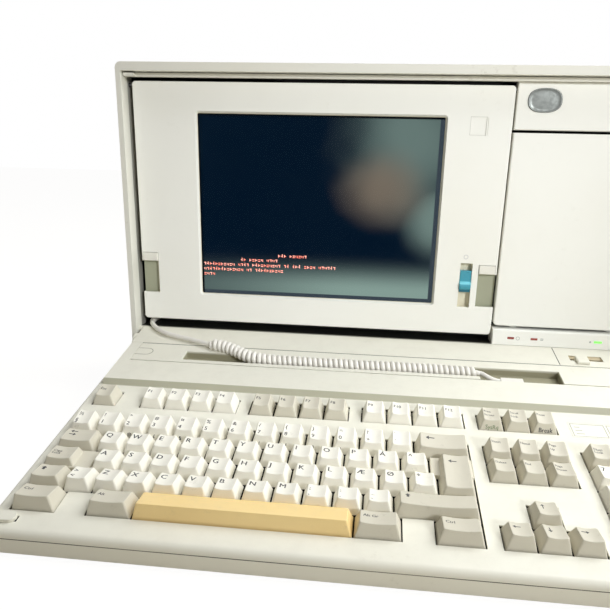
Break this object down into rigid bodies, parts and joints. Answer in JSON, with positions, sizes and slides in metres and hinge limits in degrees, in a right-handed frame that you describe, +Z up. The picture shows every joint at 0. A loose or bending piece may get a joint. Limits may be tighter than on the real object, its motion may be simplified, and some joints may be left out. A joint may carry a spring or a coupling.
{
  "type": "vintage luggable computer",
  "caption": "Luggable computer with a fold-down keyboard on a wide rolled hinge, a tilting flat display, a drive bay and a coiled keyboard cord.",
  "frame": {"origin": "middle of the open object's bounding box, on the table", "axes": "+X to the right of someone typing, +Y from the keyboard to the case's back, +Z up"},
  "size_m": [0.465, 0.3524, 0.3049],
  "materials": {
    "case_plastic": "matte",
    "lip_plastic": "matte",
    "keyboard_plastic": "matte",
    "panel_plastic": "matte",
    "handle_plastic": "matte",
    "foot_rubber": "matte",
    "steel_sheet": "satin",
    "dark_steel": "satin",
    "connector_shell": "satin",
    "board": "satin",
    "hard_disk_body": "matte",
    "black_plastic": "matte",
    "screen_glass": "polished",
    "plasma": "matte",
    "button_plastic": "matte",
    "slider_blue": "matte",
    "badge_metal": "satin",
    "lens": "gloss",
    "window": "satin",
    "light_keys": "matte",
    "grey_keys": "matte",
    "space_key": "matte",
    "plate_steel": "matte",
    "cord_sheath": "matte"
  },
  "bodies": {
    "case": {"front_frame": "case_plastic", "hinge_lip": "lip_plastic", "case_shell": "case_plastic", "case_feet": "foot_rubber", "port_panel": "steel_sheet", "rear_connectors": "connector_shell", "mains_inlet": "black_plastic", "slot_covers": "steel_sheet", "chassis_tray": "steel_sheet", "system_board": "board", "power_supply": "steel_sheet", "hard_disk": "hard_disk_body", "fan_housing": "black_plastic", "badge_panel": "panel_plastic", "badge_plate": "badge_metal", "indicator_panel": "panel_plastic", "indicator_lenses": "lens", "cord_grommet": "cord_sheath"},
    "handle": {"handle": "handle_plastic"},
    "fan": {"fan_rotor": "black_plastic"},
    "display": {"display_bezel": "panel_plastic", "display_back": "steel_sheet", "display_glass": "screen_glass", "plasma_panel": "plasma", "tilt_pins": "dark_steel"},
    "left_latch": {"left_display_latch": "button_plastic"},
    "right_latch": {"right_display_latch": "button_plastic"},
    "slider": {"brightness_slider": "slider_blue"},
    "bay": {"bay_door": "panel_plastic", "bay_pins": "dark_steel", "diskette_drive": "steel_sheet"},
    "eject": {"eject_button": "button_plastic"},
    "lever": {"release_lever": "button_plastic"},
    "keyboard": {"keyboard_top": "keyboard_plastic", "keyboard_base": "keyboard_plastic", "hinge_pins": "dark_steel", "cord_tray": "lip_plastic", "status_window": "window", "keyboard_feet": "foot_rubber", "key_plate": "plate_steel", "cord_lead": "cord_sheath", "cord_coil": "cord_sheath", "cord_tail": "cord_sheath", "cord_plug": "cord_sheath"},
    "left_tab": {"left_keyboard_latch": "button_plastic"},
    "right_tab": {"right_keyboard_latch": "button_plastic"},
    "escape_key_body": {"escape_key": "light_keys"},
    "function_keys_body": {"function_keys": "light_keys"},
    "digit_keys_body": {"digit_keys": "light_keys"},
    "upper_letter_keys_body": {"upper_letter_keys": "light_keys"},
    "home_letter_keys_body": {"home_letter_keys": "light_keys"},
    "lower_letter_keys_body": {"lower_letter_keys": "light_keys"},
    "modifier_keys_body": {"modifier_keys": "grey_keys"},
    "enter_key_body": {"enter_key": "grey_keys"},
    "space_bar_body": {"space_bar": "space_key"},
    "system_keys_body": {"system_keys": "grey_keys"},
    "edit_keys_body": {"edit_keys": "grey_keys"},
    "arrow_keys_body": {"arrow_keys": "grey_keys"},
    "numpad_keys_body": {"numpad_keys": "light_keys"}
  },
  "joints": [
    {"name": "keyboard_hinge", "type": "hinge", "parent": "case", "child": "keyboard", "pos_m": [0, 0.06533, 0.0593], "axis": [1, 0, 0], "range_deg": [-100.5, 0], "deforming": ["cord_lead"]},
    {"name": "display_tilt", "type": "hinge", "parent": "case", "child": "display", "pos_m": [0, 0.08873, 0.2881], "axis": [-1, 0, 0], "range_deg": [0, 20]},
    {"name": "bay_tilt", "type": "hinge", "parent": "case", "child": "bay", "pos_m": [0.1655, 0.09023, 0.091], "axis": [1, 0, 0], "range_deg": [0, 22]},
    {"name": "eject_press", "type": "slide", "parent": "bay", "child": "eject", "axis": [0, 0, 1], "range_m": [-0.004, 0], "stiffness_N_per_m": 300, "springref_m": 0.001},
    {"name": "handle_pivot", "type": "hinge", "parent": "case", "child": "handle", "pos_m": [0, 0.10823, 0.2954], "axis": [1, 0, 0], "range_deg": [0, 90]},
    {"name": "fan_spin", "type": "hinge", "parent": "case", "child": "fan", "pos_m": [-0.165, 0.1632, 0.062], "axis": [0, 1, 0], "continuous": true},
    {"name": "left_latch_slide", "type": "slide", "parent": "display", "child": "left_latch", "axis": [0, 0, 1], "range_m": [-0.012, 0], "stiffness_N_per_m": 120, "springref_m": 0.002},
    {"name": "right_latch_slide", "type": "slide", "parent": "display", "child": "right_latch", "axis": [0, 0, 1], "range_m": [-0.012, 0], "stiffness_N_per_m": 120, "springref_m": 0.002},
    {"name": "brightness_slide", "type": "slide", "parent": "display", "child": "slider", "axis": [0, 0, 1], "range_m": [-0.013, 0.006]},
    {"name": "release_slide", "type": "slide", "parent": "case", "child": "lever", "axis": [1, 0, 0], "range_m": [-0.004, 0.013]},
    {"name": "left_tab_slide", "type": "slide", "parent": "keyboard", "child": "left_tab", "axis": [1, 0, 0], "range_m": [0, 0.005], "stiffness_N_per_m": 200, "springref_m": -0.001},
    {"name": "right_tab_slide", "type": "slide", "parent": "keyboard", "child": "right_tab", "axis": [-1, 0, 0], "range_m": [0, 0.005], "stiffness_N_per_m": 200, "springref_m": -0.001},
    {"name": "escape_key_press", "type": "slide", "parent": "keyboard", "child": "escape_key_body", "axis": [0, -0.1822, 0.9833], "range_m": [-0.0035, 0], "stiffness_N_per_m": 300, "springref_m": 0.001},
    {"name": "function_keys_press", "type": "slide", "parent": "keyboard", "child": "function_keys_body", "axis": [0, -0.1822, 0.9833], "range_m": [-0.0035, 0], "stiffness_N_per_m": 1400, "springref_m": 0.001},
    {"name": "digit_keys_press", "type": "slide", "parent": "keyboard", "child": "digit_keys_body", "axis": [0, -0.1822, 0.9833], "range_m": [-0.0035, 0], "stiffness_N_per_m": 1500, "springref_m": 0.001},
    {"name": "upper_letter_keys_press", "type": "slide", "parent": "keyboard", "child": "upper_letter_keys_body", "axis": [0, -0.1822, 0.9833], "range_m": [-0.0035, 0], "stiffness_N_per_m": 1400, "springref_m": 0.001},
    {"name": "home_letter_keys_press", "type": "slide", "parent": "keyboard", "child": "home_letter_keys_body", "axis": [0, -0.1822, 0.9833], "range_m": [-0.0035, 0], "stiffness_N_per_m": 1400, "springref_m": 0.001},
    {"name": "lower_letter_keys_press", "type": "slide", "parent": "keyboard", "child": "lower_letter_keys_body", "axis": [0, -0.1822, 0.9833], "range_m": [-0.0035, 0], "stiffness_N_per_m": 1300, "springref_m": 0.001},
    {"name": "modifier_keys_press", "type": "slide", "parent": "keyboard", "child": "modifier_keys_body", "axis": [0, -0.1822, 0.9833], "range_m": [-0.0035, 0], "stiffness_N_per_m": 1100, "springref_m": 0.001},
    {"name": "enter_key_press", "type": "slide", "parent": "keyboard", "child": "enter_key_body", "axis": [0, -0.1822, 0.9833], "range_m": [-0.0035, 0], "stiffness_N_per_m": 300, "springref_m": 0.001},
    {"name": "space_bar_press", "type": "slide", "parent": "keyboard", "child": "space_bar_body", "axis": [0, -0.1822, 0.9833], "range_m": [-0.0035, 0], "stiffness_N_per_m": 300, "springref_m": 0.001},
    {"name": "system_keys_press", "type": "slide", "parent": "keyboard", "child": "system_keys_body", "axis": [0, -0.1822, 0.9833], "range_m": [-0.0035, 0], "stiffness_N_per_m": 500, "springref_m": 0.001},
    {"name": "edit_keys_press", "type": "slide", "parent": "keyboard", "child": "edit_keys_body", "axis": [0, -0.1822, 0.9833], "range_m": [-0.0035, 0], "stiffness_N_per_m": 800, "springref_m": 0.001},
    {"name": "arrow_keys_press", "type": "slide", "parent": "keyboard", "child": "arrow_keys_body", "axis": [0, -0.1822, 0.9833], "range_m": [-0.0035, 0], "stiffness_N_per_m": 600, "springref_m": 0.001},
    {"name": "numpad_keys_press", "type": "slide", "parent": "keyboard", "child": "numpad_keys_body", "axis": [0, -0.1822, 0.9833], "range_m": [-0.0035, 0], "stiffness_N_per_m": 1900, "springref_m": 0.001}
  ]
}
